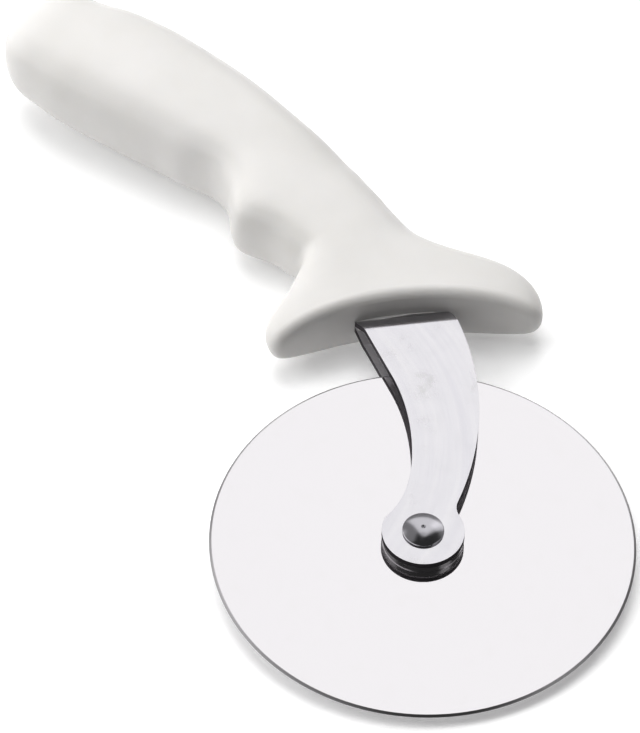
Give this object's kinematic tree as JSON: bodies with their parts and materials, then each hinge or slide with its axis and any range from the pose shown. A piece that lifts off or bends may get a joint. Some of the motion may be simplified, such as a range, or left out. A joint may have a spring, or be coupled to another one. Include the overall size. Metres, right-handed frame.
{
  "type": "pastry cutter wheel",
  "caption": "Hand-held pastry and pizza wheel: a thin bevelled steel disc turning between two curved arms, in a curved moulded handle with a winged finger guard.",
  "frame": {"origin": "bottom centre of the whole tool's box, as it lies on its side with the wheel level", "axes": "+X forward from the butt of the handle to the wheel, +Z along the wheel's axis, +Y towards the thumb wing of the guard"},
  "size_m": [0.2434, 0.1152, 0.0252],
  "materials": {
    "handle_plastic": "satin white moulded polypropylene",
    "arm_steel": "polished stamped stainless steel",
    "blade_steel": "mirror-polished stainless steel",
    "washer_steel": "turned stainless steel",
    "rivet_steel": "bright formed stainless steel"
  },
  "bodies": {
    "grip": {"handle": "handle_plastic", "upper_arm": "arm_steel", "lower_arm": "arm_steel", "tang_rivets": "rivet_steel", "axle_sleeve": "washer_steel", "axle_rivet": "rivet_steel"},
    "wheel": {"wheel_blade": "blade_steel"},
    "washer_above": {"upper_washer": "washer_steel"},
    "washer_below": {"lower_washer": "washer_steel"}
  },
  "joints": [
    {"name": "wheel_spin", "type": "hinge", "parent": "grip", "child": "wheel", "pos_m": [0.07169, -0.00756, 0.0126], "axis": [0, 0, 1], "continuous": true},
    {"name": "upper_washer_spin", "type": "hinge", "parent": "grip", "child": "washer_above", "pos_m": [0.07169, -0.00756, 0.0126], "axis": [0, 0, 1], "continuous": true},
    {"name": "lower_washer_spin", "type": "hinge", "parent": "grip", "child": "washer_below", "pos_m": [0.07169, -0.00756, 0.0126], "axis": [0, 0, 1], "continuous": true}
  ]
}
